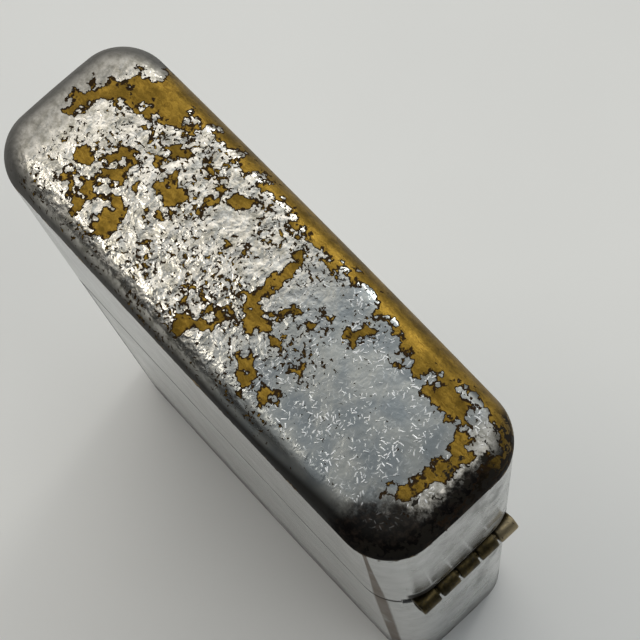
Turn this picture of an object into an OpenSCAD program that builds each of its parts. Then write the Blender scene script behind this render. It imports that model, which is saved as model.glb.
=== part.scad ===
// Flip-top windproof petrol lighter: a plated brass case with a hinged lid,
// and the steel insert that holds the wick, the flint and the striker wheel.
// Millimetres. The origin is the centre of the base, +X points to the hinge,
// +Y goes through the thickness and +Z is up.

/* [Case] */
// Length of the case, from the thumb end to the hinge end
case_length = 38.1; // [38:0.1:40]
// Thickness of the case across its flat sides
case_thickness = 12.7; // [12.6:0.1:13.4]
// Height of the closed lighter
case_height = 56.5; // [56.4:0.1:58]
// Height of the seam between the case and its lid
seam_height = 35; // [34.8:0.1:35.2]
// Thickness of the brass sheet
sheet = 0.7; // [0.6:0.05:0.75]
// Radius of the four upright corners
corner_r = 3.4; // [3.2:0.1:3.8]
// Radius of the rounded edge round the top of the lid
lid_edge_r = 2.05; // [1.8:0.05:2.2]
// Radius of the rounded edge round the base
base_edge_r = 1.4; // [1.2:0.1:1.6]

/* [Hinge] */
// Outer radius of the hinge barrel
barrel_r = 0.8; // [0.75:0.05:0.85]
// Length of one of the five knuckles
knuckle_length = 1.84; // [1.7:0.02:1.86]
// How far the hinge axis stands outside the end of the case
axis_outset = 0.05; // [0.05:0.05:0.15]
// Radius of the hinge pin
hinge_pin_r = 0.42; // [0.38:0.02:0.42]
// Length of each hinge leaf down the inside of the wall
leaf_length = 6.5; // [5:0.5:8]

/* [Insert] */
// Gap between the insert and the inside of the case
insert_gap = 0.65; // [0.6:0.05:0.7]
// Thickness of the insert's steel sheet
steel = 0.45; // [0.4:0.05:0.5]
// Height of the insert's shoulder above the seam
shoulder_rise = 1; // [0.8:0.1:1.2]
// Height of the windguard above the shoulder
windguard_rise = 16.5; // [16:0.1:16.6]
// Radius of the air holes in the windguard
air_hole_r = 0.95; // [0.8:0.05:1]

/* [Striker] */
// Outer radius of the striker wheel, over its teeth
wheel_r = 3.7; // [3.5:0.05:3.75]
// Width of the striker wheel
wheel_width = 6.2; // [5.8:0.1:6.3]
// Number of teeth round the wheel
wheel_teeth = 40; // [30:1:48]
// Depth of the teeth
tooth_depth = 0.32; // [0.2:0.02:0.4]
// Radius of the flint
flint_r = 1.25; // [1.2:0.05:1.25]

/* [Wick and packing] */
// Radius of the wick
wick_r = 1.3; // [1.2:0.05:1.3]
// Number of cotton balls pressed into the insert
ball_count = 5; // [5:1:5]

/* [Hidden] */
$fn = 48;
tiny = 0.01;

// Case and seam
seam_gap = 0.14;
inner_length = case_length - 2 * sheet;
inner_thickness = case_thickness - 2 * sheet;
inner_corner_r = corner_r - sheet;
base_sheet = 0.8;

// Hinge
knuckles = 5;
barrel_length = knuckles * knuckle_length;
knuckle_gap = 0.2;
pin_clearance = 0.04;
axis_x = case_length / 2 + axis_outset;
leaf_sheet = 0.4;
leaf_edge = 0.5;
notch_clearance = 0.2;

// Insert
can_length = inner_length - 2 * insert_gap;
can_thickness = inner_thickness - 0.5;
can_corner_r = 2.4;
can_bottom = base_sheet + 0.5;
shoulder = seam_height + shoulder_rise;
guard_top = shoulder + windguard_rise;

// Windguard: the tube round the wick, with an ear at each end of both sides
guard_x = 1.2;
guard_length = 13.6;
guard_width = 8.2;
guard_corner_r = 2.5;
ear_y = guard_width / 2 - steel;
hole_pitch = 3.4;

// Striker wheel, its rivet and the flint under it
wheel_x = -8.6;
wheel_z = shoulder + 6.4;
wheel_rivet_r = 0.9;
rivet_clearance = 0.04;
rivet_head = 0.45;
flint_top = wheel_z - wheel_r - 0.12;
flint_length = 4.6;
tube_wall = 0.45;
tube_r = flint_r + 0.1 + tube_wall;
tube_top = flint_top - 0.5;
screw_head_z = can_bottom + 0.4;
screw_length = 5;
screw_top = screw_head_z + screw_length;
spring_wire_r = 0.2;
spring_r = 0.95;
spring_turns = 11;
tip_height = 1.8;
tip_bottom = flint_top - flint_length - tip_height;

// Cam: it snaps the lid open and shut
cam_x = 10.4;
cam_z = shoulder + 4;
cam_rivet_r = 0.7;
cam_reach = 7.4;
cam_lift = 30;
cam_nose_r = 0.9;
cam_width = 3;
cam_hub_r = 1.65;
heel_r = 0.8;
heel_at = [1.9, -1.75];
rivet_head_step = 0.6;

// Flat spring under the cam, and the rivet that holds it
cam_spring_x = 16;
cam_spring_flat_half = 1.2;
cam_spring_left = 8.6;
cam_spring_sheet = 0.25;
cam_spring_bow = 0.45;
spring_rivet_r = 0.5;

// Wick and packing
felt_z = can_bottom + 0.9;
felt_height = 2.2;
ball_left = -6.2;
ball_right = 16.2;
pack_bottom = felt_z + felt_height + 0.2;
wick_pitch = 6.35;
wick_bend_r = wick_pitch / 2;
ball_height = wick_pitch - 2 * wick_r - 0.1;
wick_low = pack_bottom + ball_height + wick_r + 0.05;
wick_runs = 4;
wick_high = wick_low + (wick_runs - 1) * wick_pitch;
wick_left = ball_left + wick_bend_r + wick_r;
wick_right = ball_right - wick_bend_r - wick_r;
wick_top = guard_top - 4.8;
wick_x = guard_x;

// Flat outline with four round corners
module rounded_plan(length, width, r) {
    square([length - 2 * r, width], center = true);
    square([length, width - 2 * r], center = true);
    for (sx = [-1, 1], sy = [-1, 1])
        translate([sx * (length / 2 - r), sy * (width / 2 - r)]) circle(r);
}

// Rectangle with its two top corners rounded, centred on X and standing on the X axis
module arched_profile(width, height, edge) {
    translate([-width / 2, 0]) square([width, height - edge]);
    translate([-width / 2 + edge, 0]) square([width - 2 * edge, height]);
    for (s = [-1, 1]) translate([s * (width / 2 - edge), height - edge]) circle(edge);
}

// Upright block with round corners, and a rounded edge round its top face:
// a turned post at each corner, with a slab along and a slab across between them
module crowned_block(length, width, height, r, edge) {
    translate([-(length / 2 - r), 0, 0]) rotate([90, 0, 90])
        linear_extrude(length - 2 * r) arched_profile(width, height, edge);
    translate([0, width / 2 - r, 0]) rotate([90, 0, 0])
        linear_extrude(width - 2 * r) arched_profile(length, height, edge);
    for (sx = [-1, 1], sy = [-1, 1])
        translate([sx * (length / 2 - r), sy * (width / 2 - r), 0])
            rotate_extrude() intersection() {
                arched_profile(2 * r, height, edge);
                square([r, height]);
            }
}

// Drawn cup, open at the bottom, with a wall of one sheet thickness
module drawn_cup(height, edge, top_sheet) {
    difference() {
        crowned_block(case_length, case_thickness, height, corner_r, edge);
        translate([0, 0, -tiny])
            crowned_block(inner_length, inner_thickness, height - top_sheet + tiny,
                          inner_corner_r, edge - sheet);
    }
}

// Cut in both halves of the case that the hinge barrel sits in
module hinge_notch() {
    notch_r = barrel_r + notch_clearance;
    translate([case_length / 2 - corner_r + 1, -barrel_length / 2 - notch_clearance,
               seam_height - notch_r])
        cube([case_length, barrel_length + 2 * notch_clearance, 2 * notch_r]);
}

module bottom_case() {
    height = seam_height - seam_gap / 2;
    color("silver") difference() {
        translate([0, 0, height]) mirror([0, 0, 1])
            drawn_cup(height, base_edge_r, base_sheet);
        hinge_notch();
    }
}

module lid() {
    bottom = seam_height + seam_gap / 2;
    color("gainsboro") difference() {
        translate([0, 0, bottom]) drawn_cup(case_height - bottom, lid_edge_r, base_sheet);
        hinge_notch();
    }
}

// Cylinder along Y between two places on the hinge axis or a rivet axis
module along_y(r, from, to) {
    translate([0, to, 0]) rotate([90, 0, 0]) cylinder(r = r, h = to - from);
}

// Low edge of knuckle i, counted from the -Y end
function knuckle_start(i) = -barrel_length / 2 + i * knuckle_length;

// Hinge leaf for the listed knuckles: a plate that follows the inside of the wall, a tab
// through the notch to each knuckle, and the knuckles. It is drawn for the lower half.
module hinge_leaf(which) {
    plate_top = seam_height - leaf_edge;
    difference() {
        union() {
            translate([0, 0, plate_top - leaf_length]) linear_extrude(leaf_length)
                intersection() {
                    rounded_plan(inner_length, inner_thickness, inner_corner_r);
                    translate([case_length / 2 - corner_r, -barrel_length / 2])
                        square([corner_r, barrel_length]);
                }
            translate([axis_x, 0, seam_height])
                for (i = which) translate([0, knuckle_start(i) + knuckle_gap / 2, 0]) {
                    translate([-corner_r, 0, -barrel_r])
                        cube([corner_r, knuckle_length - knuckle_gap, barrel_r - leaf_edge]);
                    along_y(barrel_r, 0, knuckle_length - knuckle_gap);
                }
        }
        linear_extrude(case_height)
            rounded_plan(inner_length - 2 * leaf_sheet, inner_thickness - 2 * leaf_sheet,
                         inner_corner_r - leaf_sheet);
        translate([axis_x, 0, seam_height])
            along_y(hinge_pin_r + pin_clearance, -barrel_length, barrel_length);
    }
}

module case_hinge_leaf() {
    color("darkgoldenrod") hinge_leaf([0, 2, 4]);
}

module lid_hinge_leaf() {
    color("darkgoldenrod") translate([0, 0, 2 * seam_height])
        mirror([0, 0, 1]) hinge_leaf([1, 3]);
}

module hinge_pin() {
    color("goldenrod") translate([axis_x, 0, seam_height])
        along_y(hinge_pin_r, -barrel_length / 2, barrel_length / 2);
}

module insert_can() {
    color("lightgray") translate([0, 0, can_bottom]) linear_extrude(shoulder - can_bottom)
        difference() {
            rounded_plan(can_length, can_thickness, can_corner_r);
            rounded_plan(can_length - 2 * steel, can_thickness - 2 * steel, can_corner_r - steel);
        }
}

// Side plate of the windguard in its own plane: the ears for the wheel and for the cam
module ear_outline() {
    ear_r = 2.4;
    cam_ear_r = 1.9;
    translate([wheel_x, wheel_z]) circle(ear_r);
    translate([wheel_x - ear_r, shoulder]) square([2 * ear_r, wheel_z - shoulder]);
    translate([wheel_x, shoulder]) square([guard_x - wheel_x, wheel_z + ear_r - shoulder]);
    translate([cam_x, cam_z]) circle(cam_ear_r);
    translate([guard_x, shoulder]) square([cam_x + cam_ear_r - guard_x, cam_z - shoulder]);
    translate([guard_x, shoulder]) square([cam_x - guard_x, cam_z + cam_ear_r - shoulder]);
}

// Air holes in one side of the windguard, in rows of three, two and three
module air_holes() {
    rows = [[guard_x - hole_pitch, 3], [guard_x, 2], [guard_x + hole_pitch, 3]];
    top_row = guard_top - 3;
    for (row = rows, k = [0 : row[1] - 1])
        translate([row[0], top_row - hole_pitch * (k + (3 - row[1]) / 2)]) circle(air_hole_r);
}

module windguard() {
    color("lightsteelblue") difference() {
        union() {
            translate([0, 0, shoulder - steel]) linear_extrude(steel)
                rounded_plan(can_length - 2 * steel - 0.04, can_thickness - 2 * steel - 0.04,
                             can_corner_r - steel);
            translate([guard_x, 0, shoulder - tiny]) linear_extrude(windguard_rise + tiny)
                rounded_plan(guard_length, guard_width, guard_corner_r);
            for (y = [-ear_y, ear_y + steel])
                translate([0, y, 0]) rotate([90, 0, 0])
                    linear_extrude(steel) ear_outline();
        }
        translate([guard_x, 0, shoulder]) linear_extrude(windguard_rise + 1)
            rounded_plan(guard_length - 2 * steel, guard_width - 2 * steel, guard_corner_r - steel);
        // window that lets the wheel's sparks reach the wick
        translate([guard_x - guard_length / 2 - 1, -ear_y, shoulder + 1.2])
            cube([3, 2 * ear_y, wheel_r + 6.4 - 1.2]);
        translate([0, guard_width, 0]) rotate([90, 0, 0])
            linear_extrude(2 * guard_width) air_holes();
        translate([wheel_x, 0, wheel_z])
            along_y(wheel_rivet_r + rivet_clearance, -guard_width, guard_width);
        translate([cam_x, 0, cam_z])
            along_y(cam_rivet_r + rivet_clearance, -guard_width, guard_width);
        translate([wheel_x, 0, shoulder - 1]) cylinder(r = tube_r + 0.02, h = 2);
        translate([wick_x, 0, shoulder - 1]) cylinder(r = wick_r + 0.15, h = 2);
        translate([cam_spring_x, 0, shoulder - 1]) cylinder(r = spring_rivet_r + 0.02, h = 2);
    }
}

// Outline of the wheel: sharp teeth that lean the way the thumb pushes
function wheel_outline() = [
    for (i = [0 : 2 * wheel_teeth - 1])
        let (step = 180 / wheel_teeth, lean = 0.35 * step,
             r = i % 2 == 0 ? wheel_r : wheel_r - tooth_depth,
             a = i * step + (i % 2 == 0 ? lean : 0))
        [r * cos(a), r * sin(a)]];

module striker_wheel() {
    color("dimgray") translate([wheel_x, wheel_width / 2, wheel_z]) rotate([90, 0, 0])
        linear_extrude(wheel_width) difference() {
            polygon(wheel_outline());
            circle(wheel_rivet_r + 2 * rivet_clearance);
        }
}

// Rivet across both ears, with a flat head outside each
module ear_rivet(r, head_r) {
    reach = guard_width / 2;
    along_y(r, -reach - rivet_head, reach + rivet_head);
    for (y = [-reach - rivet_head - tiny, reach + tiny]) along_y(head_r, y, y + rivet_head);
}

module wheel_rivet() {
    color("gray") translate([wheel_x, 0, wheel_z]) ear_rivet(wheel_rivet_r, wheel_rivet_r + rivet_head_step);
}

module cam_rivet() {
    color("gray") translate([cam_x, 0, cam_z]) ear_rivet(cam_rivet_r, cam_rivet_r + rivet_head_step);
}

// Cam outline about its pivot: an arm to the nose, and a heel that the spring presses
module cam_outline() {
    nose = [cam_reach * cos(cam_lift), cam_reach * sin(cam_lift)];
    arm_dir = [cos(cam_lift), sin(cam_lift)];
    side = [-arm_dir[1], arm_dir[0]];
    circle(cam_hub_r);
    translate(nose) circle(cam_nose_r);
    polygon([cam_hub_r * side, nose + cam_nose_r * side,
             nose - cam_nose_r * side, -cam_hub_r * side]);
    translate(heel_at) circle(heel_r);
    polygon([[0, -cam_hub_r], heel_at + [0, -heel_r], heel_at + [heel_r, 0],
             cam_hub_r * arm_dir + [1.6, -0.2], [0, 0]]);
}

module cam_lever() {
    color("silver") translate([cam_x, 0, cam_z]) difference() {
        union() {
            translate([0, cam_width / 2, 0]) rotate([90, 0, 0])
                linear_extrude(cam_width) cam_outline();
            along_y(cam_hub_r - 0.3, -ear_y + 0.2, ear_y - 0.2);
        }
        along_y(cam_rivet_r + 2 * rivet_clearance, -guard_width, guard_width);
    }
}

// Flat spring under the cam: riveted to the shoulder at one end and bowed up under the heel
module cam_spring() {
    half_chord = (cam_spring_x - cam_spring_flat_half - cam_spring_left) / 2;
    bow_r = (pow(half_chord, 2) + pow(cam_spring_bow, 2)) / (2 * cam_spring_bow);
    bow_x = cam_spring_left + half_chord;
    color("lightgray") difference() {
        translate([0, cam_width / 2, shoulder]) rotate([90, 0, 0]) linear_extrude(cam_width)
            union() {
                translate([cam_spring_x - cam_spring_flat_half - 0.1, 0])
                    square([2 * cam_spring_flat_half + 0.1, cam_spring_sheet]);
                intersection() {
                    translate([bow_x, cam_spring_bow - bow_r]) difference() {
                        circle(bow_r + cam_spring_sheet, $fn = 180);
                        circle(bow_r, $fn = 180);
                    }
                    translate([cam_spring_left, 0])
                        square([2 * half_chord, cam_spring_bow + cam_spring_sheet]);
                }
            }
        translate([cam_spring_x, 0, shoulder - 1]) cylinder(r = spring_rivet_r + 0.02, h = 3);
    }
}

module cam_spring_rivet() {
    top = shoulder + cam_spring_sheet;
    color("gray") translate([cam_spring_x, 0, 0]) {
        translate([0, 0, shoulder - steel]) cylinder(r = spring_rivet_r, h = steel + cam_spring_sheet + 0.2);
        translate([0, 0, top]) cylinder(r = spring_rivet_r + rivet_head_step, h = 0.3);
    }
}

module flint_tube() {
    bottom = screw_head_z + 0.5;
    color("goldenrod") translate([wheel_x, 0, bottom]) difference() {
        cylinder(r = tube_r, h = tube_top - bottom);
        translate([0, 0, -1]) cylinder(r = tube_r - tube_wall, h = tube_top - bottom + 2);
    }
}

module flint() {
    color("darkslategray") translate([wheel_x, 0, flint_top - flint_length])
        cylinder(r = flint_r, h = flint_length);
}

module spring_tip() {
    color("goldenrod") translate([wheel_x, 0, tip_bottom]) {
        cylinder(r = spring_r + spring_wire_r, h = tip_height - 0.4);
        cylinder(r = spring_r - spring_wire_r - 0.05, h = tip_height);
    }
}

// Coil spring between the screw and the tip, one ring for each turn, joined by a thin spine
module flint_spring() {
    length = tip_bottom - screw_top - 2 * spring_wire_r;
    color("silver") translate([wheel_x, 0, screw_top + spring_wire_r]) {
        for (i = [0 : spring_turns])
            translate([0, 0, i * length / spring_turns])
                rotate_extrude() translate([spring_r, 0]) circle(spring_wire_r);
        translate([spring_r, 0, 0]) cylinder(r = spring_wire_r / 2, h = length);
    }
}

module flint_screw() {
    slot_width = 0.7;
    slot_depth = 0.6;
    head_height = 1;
    color("darkkhaki") translate([wheel_x, 0, screw_head_z]) difference() {
        union() {
            translate([0, 0, -0.3]) cylinder(r = tube_r + 0.5, h = head_height - 0.2);
            cylinder(r = tube_r - tube_wall - 0.02, h = screw_length);
        }
        translate([-3, -slot_width / 2, -0.3 - tiny]) cube([6, slot_width, slot_depth]);
    }
}

// Half turn of the wick between two runs; side is 1 at the hinge end and -1 at the other
module wick_bend(x, z, side) {
    translate([x, 0, z]) rotate([90, 0, 0]) rotate([0, 0, side > 0 ? -90 : 90])
        rotate_extrude(angle = 180) translate([wick_bend_r, 0]) circle(wick_r);
}

// Wick: up through the windguard, and folded between the cotton balls in the can
module wick() {
    color("ivory") {
        translate([wick_x, 0, wick_high]) {
            sphere(wick_r);
            cylinder(r = wick_r, h = wick_top - wick_high);
        }
        for (i = [0 : wick_runs - 1])
            let (start = i == wick_runs - 1 ? wick_x : wick_left)
            translate([start, 0, wick_low + i * wick_pitch]) rotate([0, 90, 0])
                cylinder(r = wick_r, h = wick_right - start);
        for (i = [0 : wick_runs - 2])
            let (side = (wick_runs - i) % 2 == 0 ? 1 : -1)
            wick_bend(side > 0 ? wick_right : wick_left,
                      wick_low + (i + 0.5) * wick_pitch, side);
    }
}

// Cotton ball number i, counted from the bottom, pressed to the shape of the can
module cotton_ball(i) {
    width = can_thickness - 2 * steel - 0.3;
    soft_r = 1.2;
    wick_space = 2 * wick_r + 0.4;
    left = i == 1 ? ball_left : i == ball_count ? wick_x + wick_r + 0.2 : ball_left + wick_space;
    right = i == 1 || i == ball_count ? ball_right : ball_right - wick_space;
    z = pack_bottom + (i - 1) * wick_pitch;
    color("floralwhite") translate([(left + right) / 2, 0, z]) intersection() {
        linear_extrude(ball_height) rounded_plan(right - left, width, 2);
        translate([0, width / 2, ball_height / 2]) rotate([90, 0, 0])
            linear_extrude(width) rounded_plan(right - left, ball_height, soft_r);
    }
}

module felt_pad() {
    color("whitesmoke") difference() {
        translate([0, 0, felt_z]) linear_extrude(felt_height)
            rounded_plan(can_length - 2 * steel - 0.4, can_thickness - 2 * steel - 0.4,
                         can_corner_r - steel - 0.2);
        translate([wheel_x, 0, felt_z - 1]) cylinder(r = tube_r + 0.15, h = felt_height + 2);
    }
}

bottom_case();
lid();
case_hinge_leaf();
lid_hinge_leaf();
hinge_pin();
insert_can();
windguard();
striker_wheel();
wheel_rivet();
cam_lever();
cam_rivet();
cam_spring();
cam_spring_rivet();
flint_tube();
flint();
spring_tip();
flint_spring();
flint_screw();
wick();
felt_pad();
for (i = [1 : ball_count])
    cotton_ball(i);
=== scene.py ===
import bpy
import numpy as np
from mathutils import Matrix, Vector


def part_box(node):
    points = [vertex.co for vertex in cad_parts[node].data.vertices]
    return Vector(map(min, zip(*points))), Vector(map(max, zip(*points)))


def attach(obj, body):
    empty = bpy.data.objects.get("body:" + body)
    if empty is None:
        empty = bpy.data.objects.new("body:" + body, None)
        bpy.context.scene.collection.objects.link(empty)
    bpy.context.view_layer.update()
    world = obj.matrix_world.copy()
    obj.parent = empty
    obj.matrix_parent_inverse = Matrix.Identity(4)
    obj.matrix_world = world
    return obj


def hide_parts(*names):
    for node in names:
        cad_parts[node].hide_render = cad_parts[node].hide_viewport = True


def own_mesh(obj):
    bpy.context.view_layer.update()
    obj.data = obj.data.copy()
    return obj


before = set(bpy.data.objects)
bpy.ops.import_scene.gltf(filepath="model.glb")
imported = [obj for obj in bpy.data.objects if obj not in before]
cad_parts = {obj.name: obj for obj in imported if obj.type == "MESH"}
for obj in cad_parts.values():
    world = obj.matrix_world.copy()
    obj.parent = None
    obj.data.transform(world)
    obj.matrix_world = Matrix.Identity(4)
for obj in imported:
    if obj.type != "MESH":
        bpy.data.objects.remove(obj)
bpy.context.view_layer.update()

MM = 0.001  # one millimetre in metres


# ---------------------------------------------------------------- camera
# The lighter is seen from above its lid and a little from its hinge end,
# with a long lens, so the lid fills the view and the case falls away below it.
CAMERA_AT = Vector((32.09, -12.23, 157.34)) * MM
LOOK_ALONG = Vector((-0.2582, 0.1316, -0.9571)).normalized()
CAMERA_UP = Vector((-0.6927, 0.6653, 0.2784))

lens = bpy.data.cameras.new("camera")
lens.lens = 98.4
lens.sensor_width = 36
lens.clip_start = 0.005
camera = bpy.data.objects.new("camera", lens)
bpy.context.scene.collection.objects.link(camera)
to_right = LOOK_ALONG.cross(CAMERA_UP).normalized()
true_up = to_right.cross(LOOK_ALONG)
camera.matrix_world = Matrix.Translation(CAMERA_AT) @ Matrix(
    (to_right, true_up, -LOOK_ALONG)
).transposed().to_4x4()
bpy.context.scene.camera = camera
bpy.context.scene.view_settings.view_transform = "Standard"


# ---------------------------------------------------------------- table and light
# A pale table under a softly lit room: a bright ceiling with lamps in it, and dark
# walls on the side the camera stands, which the rounded edge of the lid mirrors.
def new_finish(name):
    """A node material with its shader; returns the material, its tree and the shader."""
    finish = bpy.data.materials.new(name)
    finish.use_nodes = True
    tree = finish.node_tree
    return finish, tree, tree.nodes["Principled BSDF"]


def feed(tree, socket, value):
    """Puts a number, a colour or another node's output into a socket."""
    if isinstance(value, bpy.types.NodeSocket):
        tree.links.new(value, socket)
    elif isinstance(value, (tuple, list)) and len(value) == 3 and socket.type == "RGBA":
        socket.default_value = (*value, 1)
    else:
        socket.default_value = value


def maths(tree, operation, first, second=0.0):
    """One Math node."""
    node = tree.nodes.new("ShaderNodeMath")
    node.operation = operation
    feed(tree, node.inputs[0], first)
    feed(tree, node.inputs[1], second)
    return node.outputs[0]


def plus(tree, *values):
    """The values added up."""
    total = values[0]
    for value in values[1:]:
        total = maths(tree, "ADD", total, value)
    return total


def less(tree, first, second):
    """The first value less the second."""
    return maths(tree, "SUBTRACT", first, second)


def times(tree, *values):
    """The values multiplied."""
    product = values[0]
    for value in values[1:]:
        product = maths(tree, "MULTIPLY", product, value)
    return product


def most(tree, *values):
    """The greatest of the values."""
    greatest = values[0]
    for value in values[1:]:
        greatest = maths(tree, "MAXIMUM", greatest, value)
    return greatest


def size_of(tree, value):
    """The value without its sign."""
    return maths(tree, "ABSOLUTE", value)


def ramp(tree, value, low, high, start=0.0, end=1.0):
    """Maps low..high to start..end, with soft shoulders."""
    node = tree.nodes.new("ShaderNodeMapRange")
    node.interpolation_type = "SMOOTHSTEP"
    for socket, given in zip(node.inputs, (value, low, high, start, end)):
        feed(tree, socket, given)
    return node.outputs[0]


def blend_of(tree, share, a, b):
    """Colour a where share is 0 and colour b where it is 1."""
    node = tree.nodes.new("ShaderNodeMix")
    node.data_type = "RGBA"
    feed(tree, node.inputs[0], share)
    feed(tree, node.inputs[6], a)
    feed(tree, node.inputs[7], b)
    return node.outputs[2]


def vector_sum(tree, operation, a, b):
    """One Vector Math node, with its vector output."""
    node = tree.nodes.new("ShaderNodeVectorMath")
    node.operation = operation
    feed(tree, node.inputs[0], a)
    if operation == "SCALE":
        feed(tree, node.inputs[3], b)
    else:
        feed(tree, node.inputs[1], b)
    return node.outputs[0]


def grain(tree, where, scale, detail=2.0, rough=0.5, twist=0.0):
    """Noise node: its value and its colour, for scale features in a millimetre."""
    node = tree.nodes.new("ShaderNodeTexNoise")
    for name, value in (("Vector", where), ("Scale", scale), ("Detail", detail),
                        ("Roughness", rough), ("Distortion", twist)):
        feed(tree, node.inputs[name], value)
    return node.outputs["Fac"], node.outputs["Color"]


def cells(tree, where, scale, feature="F1"):
    """Voronoi node: distance to the nearest cell centre, the cell's colour and its centre."""
    node = tree.nodes.new("ShaderNodeTexVoronoi")
    node.feature = feature
    feed(tree, node.inputs["Vector"], where)
    feed(tree, node.inputs["Scale"], scale)
    return node.outputs["Distance"], node.outputs["Color"], node.outputs["Position"]


def object_mm(tree):
    """The point on the piece in its own coordinates, in millimetres."""
    return vector_sum(tree, "SCALE", tree.nodes.new("ShaderNodeTexCoord").outputs["Object"], 1000.0)


def split_mm(tree, where):
    """The X, Y and Z of a point, as three outputs of one node."""
    node = tree.nodes.new("ShaderNodeSeparateXYZ")
    tree.links.new(where, node.inputs[0])
    return node.outputs["X"], node.outputs["Y"], node.outputs["Z"]


def bumped(tree, shader, height_mm):
    """Bends the surface by a height in millimetres."""
    node = tree.nodes.new("ShaderNodeBump")
    node.inputs["Strength"].default_value = 1.0
    node.inputs["Distance"].default_value = MM
    feed(tree, node.inputs["Height"], height_mm)
    tree.links.new(node.outputs[0], shader.inputs["Normal"])


floor_mesh = bpy.data.meshes.new("table_top")
floor_mesh.from_pydata([(-2, -2, 0), (2, -2, 0), (2, 2, 0), (-2, 2, 0)], [], [(0, 1, 2, 3)])
table_top = bpy.data.objects.new("table_top", floor_mesh)
bpy.context.scene.collection.objects.link(table_top)
paint, tree, shader = new_finish("table_paint")
spot, _ = grain(tree, object_mm(tree), 0.02, 3)
feed(tree, shader.inputs["Base Color"], blend_of(tree, ramp(tree, spot, 0.3, 0.7),
                                                (0.71, 0.72, 0.71), (0.74, 0.75, 0.74)))
shader.inputs["Roughness"].default_value = 0.6
floor_mesh.materials.append(paint)


def lamp(name, toward, size, power, colour):
    """A soft square lamp that stands off in a direction and faces the lid."""
    light = bpy.data.lights.new(name, "AREA")
    light.size = size
    light.energy = power
    light.color = colour
    place = Vector(toward).normalized() * 0.6 + Vector((0, 0, 0.05))
    holder = bpy.data.objects.new(name, light)
    bpy.context.scene.collection.objects.link(holder)
    holder.location = place
    holder.rotation_euler = (Vector((0, 0, 0.05)) - place).to_track_quat("-Z", "Y").to_euler()


lamp("warm_lamp", (-0.42, -0.26, 0.87), 0.17, 0.36, (1.0, 0.94, 0.85))
lamp("window_lamp", (-0.20, 0.78, 0.59), 0.09, 0.42, (1.0, 0.97, 0.90))
lamp("end_lamp", (0.40, 0.16, 0.90), 0.12, 0.18, (1.0, 0.97, 0.92))

world = bpy.data.worlds.new("room")
bpy.context.scene.world = world
world.use_nodes = True
sky = world.node_tree
view_dir = sky.nodes.new("ShaderNodeTexCoord").outputs["Generated"]
parts = sky.nodes.new("ShaderNodeSeparateXYZ")
sky.links.new(view_dir, parts.inputs[0])
height = parts.outputs["Z"]
# the camera's side of the room is dark up to well above the lamps' foot, and the light
# grows towards the far side, where the windows are
across_room = less(sky, times(sky, parts.outputs["X"], 0.75),
                   times(sky, parts.outputs["Y"], 0.65))
near_side = ramp(sky, across_room, -0.35, 0.30)
far_side = ramp(sky, across_room, -0.12, -0.80)
wall = less(sky, 0.80, times(sky, near_side, 0.73))
ceiling = ramp(sky, less(sky, height, times(sky, near_side, 0.22)), 0.30, 0.62)
overhead = plus(sky, 0.70, times(sky, far_side, 1.3))
# someone leans over the table beside the camera
toward = sky.nodes.new("ShaderNodeVectorMath")
toward.operation = "DOT_PRODUCT"
feed(sky, toward.inputs[0], view_dir)
feed(sky, toward.inputs[1], Vector((0.32, -0.36, 0.88)).normalized())
person = ramp(sky, toward.outputs["Value"], 0.875, 0.93)
room_light = plus(sky, times(sky, ceiling, overhead),
                  times(sky, less(sky, 1.0, ceiling), wall))
room_light = times(sky, room_light, less(sky, 1.0, times(sky, person, 0.96)))
feed(sky, sky.nodes["Background"].inputs["Color"],
     blend_of(sky, ramp(sky, parts.outputs["X"], -0.45, -0.15), (1.0, 0.97, 0.92), (0.93, 0.97, 1.0)))
feed(sky, sky.nodes["Background"].inputs["Strength"], room_light)


# ---------------------------------------------------------------- bottom case and lid
# Two deep-drawn brass cups, nickel plated inside and out. The lid's plate is worn through
# to the brass in islands on top, and both have a notch for the hinge at the seam.
def box_mm(node):
    """A CAD node's lowest and highest corners, in millimetres."""
    low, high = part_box(node)
    return np.array(low) * 1000, np.array(high) * 1000


lid_low, lid_high = box_mm("lid")
cup_low, cup_high = box_mm("bottom_case")
half_length = lid_high[0]
half_width = lid_high[1]
SHEET = 0.7
BASE_SHEET = 0.8
END_BOW = 0.010
SIDE_BOW = 0.022
CORNER_R = 3.4
NOTCH_ANGLE = 41.0
NOTCH_DEPTH = 1.0


def case_outline(long_count, short_count, corner_count):
    """Columns round a rounded rectangle, anticlockwise from the middle of the hinge end.

    Each column is a share of the way between two corner centres, and the outward
    direction there: along a straight side the share grows and the direction is fixed,
    round a corner the direction turns and the share is fixed. Returns the signs and
    share that place the centre, as two arrays, and the directions."""
    centre, turn = [], []
    corners = [(1, 1), (-1, 1), (-1, -1), (1, -1)]
    for k, corner in enumerate(corners):
        start = 90.0 * k
        angles = start + np.linspace(0, 90, corner_count, endpoint=False)
        if k in (0, 3):  # two columns stand close together at the edge of the notch
            edge = NOTCH_ANGLE if k == 0 else 360 - NOTCH_ANGLE
            angles = np.sort(np.append(angles, [edge - 0.4, edge + 0.4]))
        centre.append(np.repeat([corner], len(angles), 0).astype(float))
        turn.append(np.radians(angles))
        following = np.array(corners[(k + 1) % 4], float)
        count = long_count if k % 2 == 0 else short_count
        share = np.linspace(0, 1, count, endpoint=False)[:, None]
        centre.append(np.array(corner) * (1 - share) + following * share)
        turn.append(np.full(count, np.radians(start + 90)))
    centre, turn = np.concatenate(centre), np.concatenate(turn)
    return centre, np.stack([np.cos(turn), np.sin(turn)], 1), turn


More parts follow.
